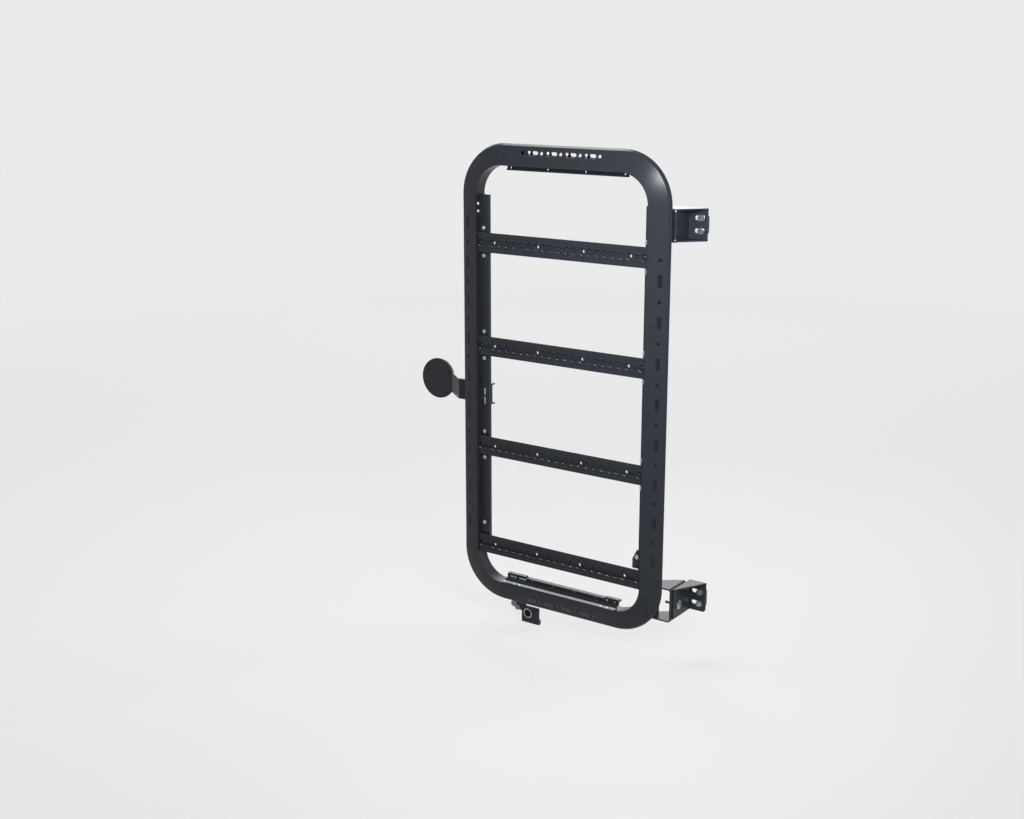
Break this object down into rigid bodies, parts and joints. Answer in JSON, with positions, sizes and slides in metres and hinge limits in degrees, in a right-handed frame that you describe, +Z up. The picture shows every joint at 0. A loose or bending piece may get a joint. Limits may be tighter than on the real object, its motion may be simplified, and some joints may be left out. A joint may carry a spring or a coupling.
{
  "type": "rear door gear rack",
  "caption": "Tall hoop of shaped tube with slotted cross rails, hinge brackets and a round door plate on an arm; carries gear on the outside of a van door.",
  "frame": {"origin": "middle of the flat back of the upper nut plate, where the rack is bolted to the door hinge", "axes": "X across the door to the hinge side, Y from the rack towards the door, Z up"},
  "size_m": [0.9825, 0.1658, 1.4481],
  "materials": {
    "coated_tube": "satin powder coat",
    "coated_rail": "satin powder coat",
    "coated_sheet": "satin powder coat",
    "steel": "plain stainless"
  },
  "bodies": {
    "root": {"top_tube": "coated_tube", "bottom_tube": "coated_tube", "left_upright": "coated_tube", "right_upright": "coated_tube", "bend_top_left": "coated_tube", "bend_top_right": "coated_tube", "bend_bottom_left": "coated_tube", "bend_bottom_right": "coated_tube", "cross_rail_1": "coated_rail", "cross_rail_2": "coated_rail", "cross_rail_3": "coated_rail", "cross_rail_4": "coated_rail", "side_rail_left": "coated_rail", "side_rail_right": "coated_rail", "top_rail": "coated_rail", "bottom_rail": "coated_rail", "rail_gusset_left": "coated_sheet", "rail_gusset_right": "coated_sheet", "upper_hinge_bracket": "coated_sheet", "upper_nut_plate": "coated_sheet", "lower_box_bracket": "coated_sheet", "lower_hinge_bracket": "coated_sheet", "lower_nut_plate": "coated_sheet", "door_plate_disc": "coated_sheet", "door_plate_cap": "coated_sheet", "arm": "coated_sheet", "arm_spacer": "coated_sheet", "rail_pad_left": "coated_sheet", "rail_pad_right": "coated_sheet", "hook_bracket": "coated_sheet", "slot_bolts_left": "steel", "slot_bolts_right": "steel", "gusset_bolt_left": "steel", "gusset_bolt_right": "steel", "upper_hinge_bolts": "steel", "lower_hinge_bolts": "steel", "pivot_bolt": "steel", "arm_slot_nuts": "steel", "hook_ring": "steel", "clamp_stud": "steel"}
  },
  "joints": []
}
